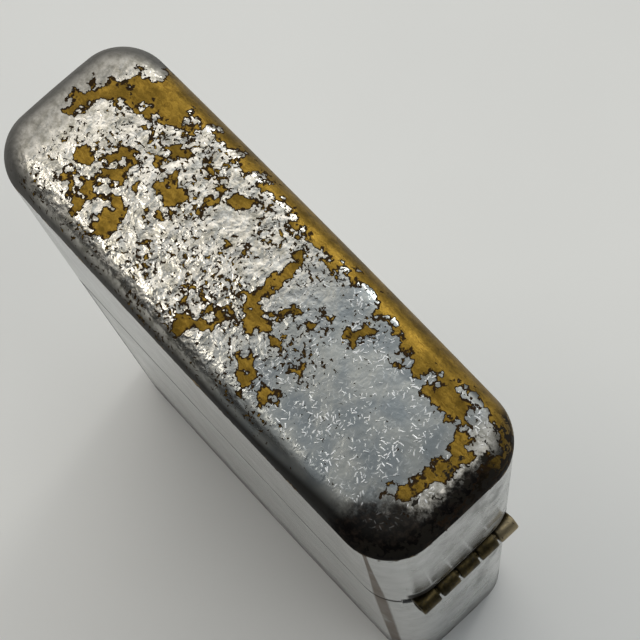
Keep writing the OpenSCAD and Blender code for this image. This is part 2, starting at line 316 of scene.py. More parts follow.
def cup_surface(columns, rings):
    """Each ring is (half length, half width, corner radius, height); a column's point is
    its corner centre for that ring plus the radius times its outward direction. The long
    sides and the ends are then bowed out a little towards their middles."""
    centre, outward, _ = columns
    length, width, radius, height = [np.asarray(r)[:, None] for r in rings]
    x = centre[None, :, 0] * (length - radius) + radius * outward[None, :, 0]
    y = centre[None, :, 1] * (width - radius) + radius * outward[None, :, 1]
    bowed_x = x * (1 - END_BOW * (y / half_width) ** 2)
    bowed_y = y * (1 - SIDE_BOW * (x / half_length) ** 2)
    return np.stack([bowed_x, bowed_y, np.broadcast_to(height, x.shape)], 2)


def weld(points, quads):
    """Merges grid points closer than a tenth of a micrometre, turns quads with two merged
    corners into triangles, drops flat ones, and faces the closed surface outwards."""
    key = np.round(points * 1e4).astype(np.int64)
    _, first, number = np.unique(key, axis=0, return_index=True, return_inverse=True)
    quads = number.reshape(-1)[quads]
    same = quads == np.roll(quads, -1, 1)
    faces = [quads[same.sum(1) == 0]]
    faces += [np.delete(quads[(same.sum(1) == 1) & same[:, k]], k, 1) for k in range(4)]
    corners = points[first]
    volume = 0.0
    for group in faces:
        for k in range(1, group.shape[1] - 1):
            a, b, c = corners[group[:, 0]], corners[group[:, k]], corners[group[:, k + 1]]
            volume += np.einsum("ij,ij->", a, np.cross(b, c))
    if volume < 0:
        faces = [group[:, ::-1] for group in faces]
    return corners, [f for group in faces for f in group.tolist()], first


def grid_faces(rows, count, start):
    """Quads between neighbouring rows and columns of a grid whose columns close on
    themselves: a corner, the next in its row, and the two below them."""
    number = start + np.arange(rows * count).reshape(rows, count)
    here, below = number[:-1], number[1:]
    sides = here, np.roll(here, -1, 1), np.roll(below, -1, 1), below
    return np.stack(sides, -1).reshape(-1, 4)


def grid_piece(name, grids, finish, body, measures=()):
    """Makes one closed mesh piece, in millimetres, from grids whose columns close on
    themselves. Measures are (name, values per grid point) that the finish reads."""
    grids = grids if isinstance(grids, list) else [grids]
    starts = np.cumsum([0] + [g.shape[0] * g.shape[1] for g in grids])
    points = np.concatenate([g.reshape(-1, 3) for g in grids])
    quads = np.concatenate([grid_faces(*g.shape[:2], s) for g, s in zip(grids, starts)])
    corners, faces, kept = weld(points, quads)
    mesh = bpy.data.meshes.new(name)
    mesh.from_pydata((corners * MM).tolist(), [], faces)
    mesh.polygons.foreach_set("use_smooth", [True] * len(mesh.polygons))
    mesh.materials.append(finish)
    for label, values in measures:
        store = mesh.attributes.new(label, "FLOAT", "POINT")
        store.data.foreach_set("value", np.asarray(values, np.float32).ravel()[kept])
    piece = bpy.data.objects.new(name, mesh)
    bpy.context.scene.collection.objects.link(piece)
    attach(piece, body)
    return piece


def cup_rings(height, edge, crown, rim):
    """Meridian of a closed cup from the middle of its top, over the rounded edge, down the
    wall and round the rim, then back up the inside. Heights count down from the top face,
    whose middle stands above its border by the crown, in the shape of a cosine."""
    inset_flat = np.linspace(half_width, edge, 34)
    middle = (half_width - inset_flat) / (half_width - edge)
    rise = crown * (np.cos(np.pi * middle) - 1) / 2
    turn = np.linspace(0, np.pi / 2, 17)[1:]
    inset_edge = edge * (1 - np.sin(turn))
    fall = -crown - edge * (1 - np.cos(turn))
    wall = np.linspace(fall[-1], -height + rim, 24)[1:]
    roll = np.linspace(0, np.pi / 2, 5)[1:]
    inset = np.concatenate([inset_flat, inset_edge, np.zeros(len(wall)), rim * (1 - np.cos(roll))])
    down = np.concatenate([rise, fall, wall, -height + rim * (1 - np.sin(roll))])
    inner_edge = edge - SHEET
    inner_top = -BASE_SHEET - crown
    turn_in = np.linspace(np.pi / 2, 0, 8)[1:]
    inset_in = np.concatenate([np.full(12, SHEET), SHEET + inner_edge * (1 - np.sin(turn_in)),
                               np.linspace(edge, half_width, 8)[1:]])
    down_in = np.concatenate([np.linspace(-height, inner_top - inner_edge, 12),
                              inner_top - inner_edge * (1 - np.cos(turn_in)), np.full(7, inner_top)])
    inset = np.concatenate([inset, inset_in])
    in_edge = CORNER_R - inset
    in_flat = (CORNER_R - edge) * (half_width - inset) / (half_width - edge)
    radius = np.where(inset <= edge, in_edge, in_flat)
    return inset, np.concatenate([down, down_in]), radius, len(down)


columns = case_outline(150, 26, 22)
from_hinge_end = np.abs((columns[2] + np.pi) % (2 * np.pi) - np.pi)
in_notch = (from_hinge_end < np.radians(NOTCH_ANGLE)) & (columns[0][:, 0] > 0)


def drawn_cup(height, edge, crown, rim):
    """The cup's grid standing rim down on height 0, its walls cut short at the notch."""
    inset, down, radius, _ = cup_rings(height, edge, crown, rim)
    grid = cup_surface(columns, (half_length - inset, half_width - inset, radius, height + down))
    lift = NOTCH_DEPTH * in_notch[None, :]
    top_of_cut = 2.5 * NOTCH_DEPTH
    low = np.clip(grid[..., 2], 0, top_of_cut) / top_of_cut
    grid[..., 2] += lift * (1 - low) * (grid[..., 2] < top_of_cut)
    return grid


def unrolled(grid, height, edge):
    """Plan position of every point once the rounded edge and the walls are laid out flat:
    the plan position, pushed outwards by how much longer the path over the edge is."""
    outward = columns[1]
    drop = np.clip(height - grid[..., 2], 0, None)
    swing = np.arccos(np.clip(1 - drop / edge, 0, 1))
    past_turn = drop - edge + edge * (np.pi / 2 - 1)
    longer = np.where(drop < edge, edge * (swing - np.sin(swing)), past_turn)
    return grid[..., :2] + outward[None] * longer[..., None]


def stroke_distance(where, strokes):
    """Distance in millimetres to the nearest of some round-ended strokes, less its radius."""
    nearest = np.full(where.shape[:2], 9.0)
    for x0, y0, x1, y1, r in strokes:
        along = np.array([x1 - x0, y1 - y0])
        reach = max(along @ along, 1e-9)
        share = np.clip(((where - (x0, y0)) @ along) / reach, 0, 1)
        gap = np.linalg.norm(where - (x0, y0) - share[..., None] * along, axis=2) - r
        nearest = np.minimum(nearest, gap)
    return nearest


# where the lid's plate is rubbed through, as strokes x0, y0, x1, y1 and radius
RUBBED = [
    (-12.5, 6.4, 16.5, 6.7, 2.0), (-14.0, 3.9, -10.6, 4.7, 1.25), (-14.4, 3.2, -15.8, 1.9, 0.6),
    (-15.8, 1.9, -16.4, -0.2, 0.5), (8.2, 5.4, 14.8, 4.5, 1.75), (15.2, 3.6, 16.4, 2.2, 0.65),
    (16.4, 2.2, 16.5, 0.2, 0.6), (16.5, 0.2, 16.0, -2.3, 0.5), (18.2, 4.6, 19.3, 2.0, 0.7),
    (19.3, 2.0, 19.6, -2.0, 0.45), (1.1, 4.2, 1.3, 1.2, 0.36), (1.3, 1.2, 1.2, -1.0, 0.40),
    (1.2, -1.0, 1.8, -1.8, 0.42), (1.8, -1.5, 2.9, -0.9, 0.38), (1.5, -1.9, 0.3, -2.6, 0.38),
    (-9.6, -3.2, -9.0, -4.3, 0.5), (-11.6, -1.7, -9.9, -1.0, 0.42), (-12.9, -3.3, -12.0, -3.0, 0.32),
    (-10.8, 0.8, -9.2, 1.2, 0.42), (-8.5, 0.3, -8.4, 1.5, 0.3), (-7.2, -1.3, -6.5, -0.6, 0.34),
    (-6.3, -2.8, -5.4, -3.4, 0.3), (-7.2, 3.2, -6.0, 3.7, 0.36), (-0.8, -4.7, -0.1, -3.8, 0.5),
    (4.3, -4.1, 3.5, -3.2, 0.5), (5.7, -3.6, 6.2, -3.5, 0.38), (4.0, -1.2, 4.3, -1.1, 0.38),
    (6.9, 2.3, 7.6, 3.7, 0.34), (-5.6, 1.4, -5.2, 2.4, 0.3), (-2.2, -3.9, -2.0, -3.6, 0.2),
    (2.9, 0.4, 3.4, 1.0, 0.2), (-12.4, 1.9, -11.7, 2.5, 0.3), (-13.6, -1.9, -12.2, -1.2, 0.3),
    (-12.2, -1.2, -11.4, 0.2, 0.28), (-11.4, 0.2, -10.2, 0.4, 0.3), (-9.9, 2.3, -8.6, 2.9, 0.3),
    (-13.0, -3.3, -11.3, -4.3, 0.34), (-8.0, -0.4, -6.9, 0.4, 0.26), (-4.6, 2.8, -3.6, 3.4, 0.3),
    (-2.6, 0.8, -1.8, 1.2, 0.24), (-6.2, 3.5, -5.2, 2.6, 0.26), (4.6, 0.9, 5.5, 1.6, 0.26),
    (5.6, -2.0, 6.3, -1.4, 0.24), (-1.0, -2.6, 0.2, -2.9, 0.26),
    (-13.3, -3.5, -10.8, -2.0, 0.3), (-10.8, -2.0, -10.6, 0.8, 0.3), (-10.6, 0.8, -9.4, 1.2, 0.3),
    (-10.2, 3.4, -9.4, 4.4, 0.35), (-11.3, -3.3, -9.0, -2.3, 0.3), (-9.0, -4.0, -9.0, -2.3, 0.28),
    (-1.2, -4.3, -0.5, -3.3, 0.3), (0.3, -2.5, 2.5, -0.2, 0.3)]
# islands of plate left standing in the rubbed band
KEPT = [
    (-8.9, 4.5, -8.7, 5.5, 0.42), (-7.6, 4.4, -6.6, 5.2, 0.62), (-5.1, 4.2, -4.6, 5.3, 0.5),
    (-3.4, 4.3, -2.2, 4.6, 0.5), (-0.4, 4.2, 0.3, 4.5, 0.4), (3.0, 4.3, 5.5, 4.6, 0.42),
    (14.6, 5.2, 16.6, 4.2, 0.5), (16.9, 4.0, 17.6, 2.2, 0.55), (17.7, 2.0, 17.7, -2.5, 0.55),
    (-10.4, 4.4, -10.0, 4.8, 0.22), (7.9, 4.3, 8.3, 4.1, 0.3), (12.2, 3.9, 12.5, 4.0, 0.24),
    (10.2, 3.6, 10.4, 3.5, 0.3)]

LID_EDGE_R = 2.05
LID_CROWN = 0.15
LID_RIM = 0.25
lid_height = lid_high[2] - lid_low[2]
lid_grid = drawn_cup(lid_height, LID_EDGE_R, LID_CROWN, LID_RIM)
flat_plan = unrolled(lid_grid, lid_height - LID_CROWN, LID_EDGE_R)
outer_rows = cup_rings(lid_height, LID_EDGE_R, LID_CROWN, LID_RIM)[3]
cover = np.maximum(stroke_distance(flat_plan, RUBBED), -stroke_distance(flat_plan, KEPT))
# the left half is the thinner plate, so the noise breaks it up more
thin = np.exp(-((flat_plan[..., 0] + 10.5) / 4.5) ** 2 - ((flat_plan[..., 1] - 0.4) / 3.2) ** 2)
thin += 0.6 * np.exp(-((flat_plan[..., 0] - 2.0) / 4.0) ** 2 - ((flat_plan[..., 1] + 1.5) / 3.0) ** 2)
cover = np.clip(cover, -1.4, 1.35 - 0.8 * thin)
# the plate is also rubbed through in a fine line where the rounded edge meets the walls
past_edge = np.abs(lid_height - LID_CROWN - LID_EDGE_R * 0.93 - lid_grid[..., 2])
cover = np.minimum(cover, 2.5 * past_edge - 0.15)
cover[outer_rows:] = 1.5
lid_grid[..., 2] += lid_low[2]


SEAM_Z = lid_low[2]
HINGE_NOTCH_TOP = 0.9


def plate_field(tree, where, wandering, x, z):
    """Above zero the plate stands, below zero the brass shows, and near zero is the dark
    border between them: the stored cover plus scallops, cut by pits. A pit is where a
    second noise dips under its level, and the level rises in clusters."""
    stored = tree.nodes.new("ShaderNodeAttribute")
    stored.attribute_name = "cover"
    broad, _ = grain(tree, where, 0.62, 3, 0.6)
    lobe, _, _ = cells(tree, wandering, 1.45)
    small_lobe, _, _ = cells(tree, wandering, 3.3)
    scalloped = plus(tree, stored.outputs["Fac"],
                     times(tree, less(tree, broad, 0.47), 3.4),
                     times(tree, less(tree, 0.46, lobe), 1.25),
                     times(tree, less(tree, 0.45, small_lobe), 0.5))
    pit_noise, _ = grain(tree, wandering, 3.7, 1.5, 0.5)
    cluster, _ = grain(tree, where, 0.28, 3, 0.65)
    middle = times(tree, ramp(tree, x, -17.0, -14.5), ramp(tree, x, 11.0, 5.0, 0.35, 1.0))
    level = plus(tree, 0.20, times(tree, ramp(tree, cluster, 0.38, 0.60, 0.11, 0.235), middle))
    level = times(tree, level, ramp(tree, ramp(tree, z, 54.4, 55.4), 0.0, 1.0, 0.45, 1.0))
    pits = times(tree, less(tree, pit_noise, level), 0.9)
    return maths(tree, "MINIMUM", times(tree, scalloped, 0.42), pits)


def bare_brass(tree, where, wandering, round_edge):
    """Brass rubbed along the lid, with brown patches, dark spots and a duller round edge."""
    lines, _ = grain(tree, vector_sum(tree, "MULTIPLY", wandering, (0.5, 4.0, 4.0)), 1.3, 4, 0.7)
    patch, _ = grain(tree, where, 0.55, 4, 0.65)
    spots, _ = grain(tree, where, 2.4, 4, 0.7)
    brass = blend_of(tree, ramp(tree, lines, 0.3, 0.7), (0.125, 0.074, 0.012), (0.29, 0.182, 0.030))
    brass = blend_of(tree, ramp(tree, patch, 0.40, 0.64, 0.0, 0.75), brass, (0.080, 0.050, 0.008))
    brass = blend_of(tree, ramp(tree, spots, 0.60, 0.72, 0.0, 0.7), brass, (0.03, 0.018, 0.008))
    return blend_of(tree, times(tree, round_edge, 0.15), brass, (0.07, 0.048, 0.02)), lines


def black_tarnish_and_reflection(tree, where, x, y, z, mottle):
    """Share of black at the near corner and on the rounded edge of the hinge end: tarnish,
    deepened as a painted dark reflection, with a ragged border: the distance from the corner, or X, is moved
    by a noise."""
    to_corner = vector_sum(tree, "SUBTRACT", where, (19.0, -6.4, 56.0))
    distance = tree.nodes.new("ShaderNodeVectorMath")
    distance.operation = "LENGTH"
    feed(tree, distance.inputs[0], vector_sum(tree, "MULTIPLY", to_corner, (1.0, 1.0, 0.0)))
    ragged = times(tree, less(tree, mottle, 0.5), 2.4)
    corner = ramp(tree, plus(tree, distance.outputs["Value"], ragged), 5.9, 4.1)
    end = times(tree, ramp(tree, less(tree, x, ragged), 17.2, 18.0),
                ramp(tree, plus(tree, y, ragged), 4.6, 2.2))
    return times(tree, most(tree, corner, end), ramp(tree, z, 54.3, 54.6))


def glinting_nicks(tree, where):
    """Short straight strokes, one to a cell, in three sizes of cell, which the plate paints near white as
    glints. Each is turned its own way: it shows where the distance across it and the distance beyond its end
    are small."""
    found = []
    for scale, shift in ((1.6, 6.0), (2.3, 9.0), (3.0, 14.0)):
        moved = vector_sum(tree, "ADD", where, (shift, 0, 0))
        _, tint, cell_centre = cells(tree, moved, scale)
        pick = tree.nodes.new("ShaderNodeSeparateColor")
        tree.links.new(tint, pick.inputs[0])
        bigger, turn, chosen = pick.outputs
        spin = tree.nodes.new("ShaderNodeVectorRotate")
        spin.rotation_type = "Z_AXIS"
        feed(tree, spin.inputs["Vector"], vector_sum(tree, "SUBTRACT", moved, cell_centre))
        feed(tree, spin.inputs["Angle"], times(tree, turn, 3.14))
        along, across, _ = split_mm(tree, spin.outputs[0])
        width = plus(tree, 0.03, times(tree, bigger, 0.03))
        reach = plus(tree, 0.06, times(tree, bigger, 0.12))
        found.append(times(tree, ramp(tree, size_of(tree, across), width, 0.015),
                           ramp(tree, less(tree, size_of(tree, along), reach), 0.05, -0.05),
                           ramp(tree, chosen, 0.45, 0.75)))
    return most(tree, *found)


def dirt_and_painted_shade(tree, where, wandering, x, y, z, smudge, wall_side):
    """Share of dirt and painted shade: dirt and painted shade in the seam, painted shade on the wall over
    the hinge knuckles, dirt in smudges on the hinge end and in flecks on its rounded edge, painted shade
    on the foot of the case, and a dark band down its near-left corner."""
    # dirt along the seam, darkened further as painted shade in the gap between lid and case
    on_seam = ramp(tree, size_of(tree, less(tree, z, SEAM_Z)), 0.62, 0.22)
    on_seam = times(tree, on_seam, ramp(tree, smudge, 0.30, 0.48, 0.55, 1.0))
    end_wall = times(tree, ramp(tree, x, 17.6, 18.4), wall_side)
    # the painted shade stands higher over the knuckle of the near end
    shade_top = ramp(tree, y, -2.4, -2.9, 0.8, 2.6)
    # painted shade on the wall just over the knuckles, under the notch
    over_hinge = times(tree, ramp(tree, less(tree, z, SEAM_Z + HINGE_NOTCH_TOP), shade_top,
                                  times(tree, shade_top, 0.6)),
                       maths(tree, "GREATER_THAN", z, SEAM_Z),
                       ramp(tree, size_of(tree, y), 4.8, 4.6), end_wall)
    stain, _ = grain(tree, vector_sum(tree, "MULTIPLY", where, (1.0, 1.0, 0.45)), 0.42, 4, 0.6)
    smudges = times(tree, ramp(tree, stain, 0.42, 0.66), end_wall, 0.45,
                    ramp(tree, y, -3.5, 3.5, 0.25, 1.0))
    fleck_noise, _ = grain(tree, wandering, 2.0, 3, 0.6)
    fleck_level = ramp(tree, z, 55.2, 56.4, 0.56, 0.40)
    flecks = times(tree, ramp(tree, less(tree, fleck_level, fleck_noise), -0.02, 0.02),
                   ramp(tree, x, 15.8, 16.8), ramp(tree, z, 54.4, 55.4))
    # painted shade at the foot of the case, darker towards the table
    foot_shade = ramp(tree, plus(tree, z, times(tree, stain, 9.0)), 15.5, 6.0, 0.0, 0.62)
    # a dark band down the near-left corner of the case, below the seam
    near_corner_band = times(tree, ramp(tree, x, -14.6, -15.8, 0.0, 0.6), ramp(tree, y, -4.6, -5.6))
    dull_and_shaded = times(tree, most(tree, foot_shade, near_corner_band), maths(tree, "LESS_THAN", z, SEAM_Z))
    return most(tree, on_seam, over_hinge, smudges, flecks, dull_and_shaded)


def rubbed_corner(tree, x, y, z, smudge, wall_side):
    """A line down the near upright corner where the plate is rubbed thin, wider below."""
    gap = size_of(tree, less(tree, x, 16.8))
    width = ramp(tree, z, 53.0, 30.0, 0.14, 0.50)
    return times(tree, ramp(tree, maths(tree, "DIVIDE", gap, width), 1.2, 0.7), wall_side,
                 ramp(tree, y, -4.8, -5.2), ramp(tree, smudge, 0.25, 0.45, 0.45, 0.9))


def worn_plate(name):
    """Nickel plate over brass, with the dark border of the plate, black tarnish deepened by a painted dark
    reflection, nicks painted bright as glints, and dirt with painted shade laid over it in that order."""
    finish, tree, shader = new_finish(name)
    where = object_mm(tree)
    x, y, z = split_mm(tree, where)
    fine_tone, fine_colour = grain(tree, where, 2.2, 3, 0.6)
    wobble = vector_sum(tree, "SUBTRACT", fine_colour, (0.5, 0.5, 0.5))
    wandering = vector_sum(tree, "ADD", where, vector_sum(tree, "SCALE", wobble, 0.7))
    field = plate_field(tree, where, wandering, x, z)
    plate = ramp(tree, field, -0.02, 0.015)
    border = times(tree, ramp(tree, field, -0.13, -0.075), ramp(tree, field, 0.02, -0.005), 0.95)
    bare = less(tree, 1.0, plate)

    # nickel: warmer and brighter over most of the lid and darker blue-grey towards the hinge, a
    # painted reflection of the warm lamp and of the cooler room; tarnished round the edge and further
    # in at both ends, deepened there by a painted dark reflection; clean on the walls
    painted_cool_end = times(tree, ramp(tree, x, -1.5, 6.5), ramp(tree, x, 17.2, 15.2))
    soft, _ = grain(tree, where, 0.5, 3)
    mottle, _ = grain(tree, where, 1.6, 5, 0.7)
    warm = blend_of(tree, ramp(tree, mottle, 0.32, 0.66), (0.27, 0.26, 0.22), (0.62, 0.60, 0.55))
    cool = blend_of(tree, ramp(tree, soft, 0.35, 0.65), (0.225, 0.245, 0.25), (0.305, 0.315, 0.30))
    nickel = blend_of(tree, painted_cool_end, warm, cool)
    wall_side = ramp(tree, z, 54.45, 54.25)
    further_in = most(tree, ramp(tree, x, 6.0, 14.5), ramp(tree, x, -13.0, -17.0, 0.0, 1.35))
    edge_height = less(tree, z, times(tree, further_in, 0.55))
    round_edge = times(tree, ramp(tree, edge_height, 56.05, 55.15), less(tree, 1.0, wall_side))
    edge_tarnish_and_reflection = times(tree, round_edge, ramp(tree, plate, 0.0, 1.0, 0.15, 1.0))
    # painted dark reflection on the tarnished rounded edge: grey at the left end, nearly black towards the
    # hinge
    edge_dark_tone = blend_of(tree, ramp(tree, x, -14.0, 9.0), (0.085, 0.083, 0.078), (0.006, 0.005, 0.004))
    nickel = blend_of(tree, times(tree, edge_tarnish_and_reflection, 0.96), nickel, edge_dark_tone)
    smudge, _ = grain(tree, vector_sum(tree, "MULTIPLY", wandering, (1.0, 1.0, 0.35)), 0.35, 4, 0.65)
    wall = blend_of(tree, ramp(tree, smudge, 0.35, 0.62), (0.35, 0.355, 0.345), (0.44, 0.45, 0.44))
    nickel = blend_of(tree, wall_side, nickel, wall)
    brass, brass_lines = bare_brass(tree, where, wandering, round_edge)
    colour = blend_of(tree, plate, brass, nickel)

    # black at the near corner and the hinge end's rounded edge: tarnish with a painted dark reflection
    black = black_tarnish_and_reflection(tree, where, x, y, z, mottle)
    black_tone = blend_of(tree, ramp(tree, fine_tone, 0.45, 0.70),
                          (0.002, 0.0015, 0.0015), (0.018, 0.013, 0.010))
    colour = blend_of(tree, times(tree, black, 0.97), colour, black_tone)
    nick_patch, _ = grain(tree, where, 0.55, 2)
    nick_glint = times(tree, glinting_nicks(tree, where), ramp(tree, x, 0.0, 9.0, 0.08, 1.0),
                 ramp(tree, nick_patch, 0.44, 0.58, 0.12, 1.0),
                 ramp(tree, black, 0.5, 0.95, 1.0, 0.1), plate, ramp(tree, z, 56.24, 56.33))
    # nicks painted near white as glints, over real dents in the bump
    colour = blend_of(tree, times(tree, nick_glint, 0.9), colour, (0.88, 0.90, 0.92))
    rubbed_line = rubbed_corner(tree, x, y, z, smudge, wall_side)
    colour = blend_of(tree, rubbed_line, colour, (0.12, 0.082, 0.052))
    # dirt, with painted shade in the seam, over the knuckles and at the foot of the case
    dirt_and_shade = dirt_and_painted_shade(tree, where, wandering, x, y, z, smudge, wall_side)
    colour = blend_of(tree, dirt_and_shade, colour, (0.016, 0.014, 0.011))
    colour = blend_of(tree, border, colour, (0.020, 0.011, 0.005))
    feed(tree, shader.inputs["Base Color"], colour)

    dull_and_shaded = most(tree, border, dirt_and_shade, black, times(tree, rubbed_line, 0.7))
    not_metal = most(tree, times(tree, dull_and_shaded, 0.95), times(tree, nick_glint, 0.85), times(tree, edge_tarnish_and_reflection, 0.90))
    feed(tree, shader.inputs["Metallic"], less(tree, 1.0, not_metal))
    rough = plus(tree, ramp(tree, soft, 0.3, 0.7, 0.17, 0.26), times(tree, bare, 0.17),
                 times(tree, edge_tarnish_and_reflection, 0.36), times(tree, dull_and_shaded, 0.35))
    feed(tree, shader.inputs["Roughness"], rough)
    shader.inputs["IOR"].default_value = 1.15  # the dirt and tarnish are matt

    # relief in millimetres: nodules in the warm plate, fainter at the hinge end and on the
    # round edge, the step of the plate, lines in the brass, and drawn lines down the walls
    ripple, _ = grain(tree, where, 1.15, 2.0, 0.5, 0.3)
    crinkle, _ = grain(tree, where, 3.4, 2.0, 0.55)
    streak, _ = grain(tree, vector_sum(tree, "MULTIPLY", where, (0.9, 0.9, 0.12)), 0.8, 3, 0.6)
    nodules = times(tree, plus(tree, times(tree, ripple, 0.17), times(tree, crinkle, 0.035)),
                    ramp(tree, x, 0.0, 8.0, 1.0, 0.28), ramp(tree, z, 55.3, 56.0, 0.12, 1.0))
    bumped(tree, shader, plus(tree, times(tree, plus(tree, nodules, 0.03), plate),
                              times(tree, brass_lines, bare, 0.022), times(tree, nick_glint, 0.02),
                              times(tree, streak, wall_side, 0.025)))
    return finish


lid_piece = grid_piece("lid_shell", lid_grid, worn_plate("lid_worn_plate"), "lid", [("cover", cover)])
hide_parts("lid")

BASE_EDGE_R = 1.4
CASE_RIM = 0.35
cup_height = cup_high[2] - cup_low[2]
cup_grid = drawn_cup(cup_height, BASE_EDGE_R, 0.0, CASE_RIM)
case_cover = np.clip(2.0 * np.abs(cup_grid[..., 2] - (cup_height - BASE_EDGE_R)) - 0.1, 0, 1.5)
cup_grid[..., 2] = cup_high[2] - cup_grid[..., 2]
case_piece = grid_piece("case_shell", cup_grid, worn_plate("case_worn_plate"), "case",
                        [("cover", case_cover)])
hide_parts("bottom_case")


# ---------------------------------------------------------------- hinge
# A leaf inside the case and one inside the lid, stamped from brass strip whose knuckles are
# rolled round one pin: three knuckles below, two above. Each leaf is spot-welded to its wall.
AXIS_X = (box_mm("hinge_pin")[0][0] + box_mm("hinge_pin")[1][0]) / 2
AXIS_Z = (box_mm("hinge_pin")[0][2] + box_mm("hinge_pin")[1][2]) / 2
BARREL_R = box_mm("case_hinge_leaf")[1][0] - AXIS_X
BARREL_HALF = box_mm("hinge_pin")[1][1]
KNUCKLE = BARREL_HALF * 2 / 5
PIN_R = 0.42
LEAF_SHEET = 0.4
LEAF_EDGE = 0.5
LEAF_LENGTH = box_mm("lid_hinge_leaf")[1][2] - AXIS_Z - LEAF_EDGE


def turned_y(radius, along, centre, count=40, out_of_round=0.0):
    """Revolves a profile of (radius, place along Y) about an axis parallel to Y. The
    radius may lose a share four times a turn, which makes a barrel slightly square."""
    angle = np.linspace(0, 2 * np.pi, count, endpoint=False)
    r = np.asarray(radius, float)[:, None] * (1 - out_of_round * (1 - np.cos(4 * angle)) / 2)[None]
    y = np.repeat(np.asarray(along, float)[:, None], count, 1)
    return np.stack([centre[0] + r * np.cos(angle), y, centre[1] + r * np.sin(angle)], 2)


def capped(rings):
    """Closes a run of rings with a point at the middle of the first and of the last."""
    first = np.repeat(rings[:1].mean(1, keepdims=True), rings.shape[1], 1)
    last = np.repeat(rings[-1:].mean(1, keepdims=True), rings.shape[1], 1)
    return np.concatenate([first, rings, last])


def soft_box(low, high, edge, count=6, steps=6):
    """A box with rounded edges as rings up the Z axis: each ring is a rounded rectangle,
    and the first and last rings shrink by the edge radius along a quarter circle."""
    low, high = np.asarray(low, float), np.asarray(high, float)
    middle, half = (low + high) / 2, (high - low) / 2
    turn = np.linspace(0, np.pi / 2, count)
    inset = np.concatenate([edge * (1 - np.sin(turn)), np.zeros(steps), edge * (1 - np.cos(turn))])
    z = np.concatenate([low[2] + edge * (1 - np.cos(turn)),
                        np.linspace(low[2] + edge, high[2] - edge, steps),
                        high[2] - edge + edge * np.sin(turn)])
    angle = np.linspace(0, 2 * np.pi, 8 * count, endpoint=False) + np.pi / 8 / count
    away = np.stack([np.cos(angle), np.sin(angle)], 1)
    corner = np.sign(away) * (half[:2] - edge)
    ring = middle[:2] + corner + away * (edge - inset)[:, None, None]
    return capped(np.concatenate([ring, np.broadcast_to(z[:, None, None], (*ring.shape[:2], 1))], 2))


def hinge_leaf_grids(which, up):
    """Knuckles, their tabs, and the strip that follows the inside of the wall. The strip is
    made as upright rings along Y, each a thin rounded rectangle set by the wall's curve."""
    grids = []
    for k in which:
        start = -BARREL_HALF + k * KNUCKLE + 0.1
        end = start + KNUCKLE - 0.2
        radius = [PIN_R + 0.04, PIN_R + 0.14, BARREL_R - 0.12, BARREL_R - 0.03, BARREL_R, BARREL_R,
                  BARREL_R - 0.03, BARREL_R - 0.12, PIN_R + 0.14, PIN_R + 0.04, PIN_R + 0.04]
        place = [start + 0.1, start, start, start + 0.03, start + 0.14, end - 0.14,
                 end - 0.03, end, end, end - 0.1, start + 0.1]
        grids.append(turned_y(radius, place, (AXIS_X, AXIS_Z), out_of_round=0.05))
        tab = sorted([AXIS_Z + up * (LEAF_EDGE + 0.01), AXIS_Z + up * (BARREL_R - 0.01)])
        grids.append(soft_box((AXIS_X - 1.1, start + 0.02, tab[0]),
                              (AXIS_X - 0.25, end - 0.02, tab[1]), 0.07))
    y = np.linspace(-BARREL_HALF, BARREL_HALF, 41)
    inner_r = CORNER_R - SHEET
    flat_half = half_width - SHEET - inner_r
    beyond = np.clip(np.abs(y) - flat_half, 0, inner_r)
    wall_x = half_length - SHEET - inner_r + np.sqrt(inner_r ** 2 - beyond ** 2)
    wall_x -= 0.012 * half_length * (y / half_width) ** 2
    ends = sorted([AXIS_Z + up * LEAF_EDGE, AXIS_Z + up * (LEAF_EDGE + LEAF_LENGTH)])
    round_off = 0.12
    z = np.array([ends[0], ends[0] + round_off, ends[1] - round_off, ends[1]])
    depth = np.array([0.12, 0.02, 0.02, 0.12])
    outer = np.stack([wall_x[:, None] - depth, np.repeat(y[:, None], 4, 1), np.tile(z, (41, 1))], 2)
    inner = np.stack([(wall_x - LEAF_SHEET)[:, None] + depth, outer[..., 1], outer[..., 2]], 2)[:, ::-1]
    grids.append(capped(np.concatenate([outer, inner], 1)))
    return grids


def tarnished_brass(name):
    """Brass gone brown in the air and from handling, with a painted highlight on the outer face of
    the far-end knuckle, and dark specks over it."""
    finish, tree, shader = new_finish(name)
    where = object_mm(tree)
    x, y, _ = split_mm(tree, where)
    patch, _ = grain(tree, where, 1.0, 5, 0.65)
    speck, _ = grain(tree, where, 4.5, 3, 0.6)
    colour = blend_of(tree, ramp(tree, patch, 0.34, 0.66), (0.028, 0.023, 0.011), (0.095, 0.073, 0.032))
    # painted highlight on the outer face of the knuckle at the far end
    knuckle_highlight = times(tree, ramp(tree, y, 2.3, 3.4), ramp(tree, x, 18.7, 19.5))
    colour = blend_of(tree, times(tree, knuckle_highlight, 0.8), colour, (0.42, 0.35, 0.22))
    colour = blend_of(tree, ramp(tree, speck, 0.56, 0.72), colour, (0.018, 0.013, 0.008))
    feed(tree, shader.inputs["Base Color"], colour)
    feed(tree, shader.inputs["Metallic"], ramp(tree, speck, 0.5, 0.75, 1.0, 0.4))
    feed(tree, shader.inputs["Roughness"], ramp(tree, patch, 0.3, 0.7, 0.50, 0.34))
    relief = plus(tree, times(tree, patch, 0.05), times(tree, speck, 0.015))
    bumped(tree, shader, relief)
    return finish


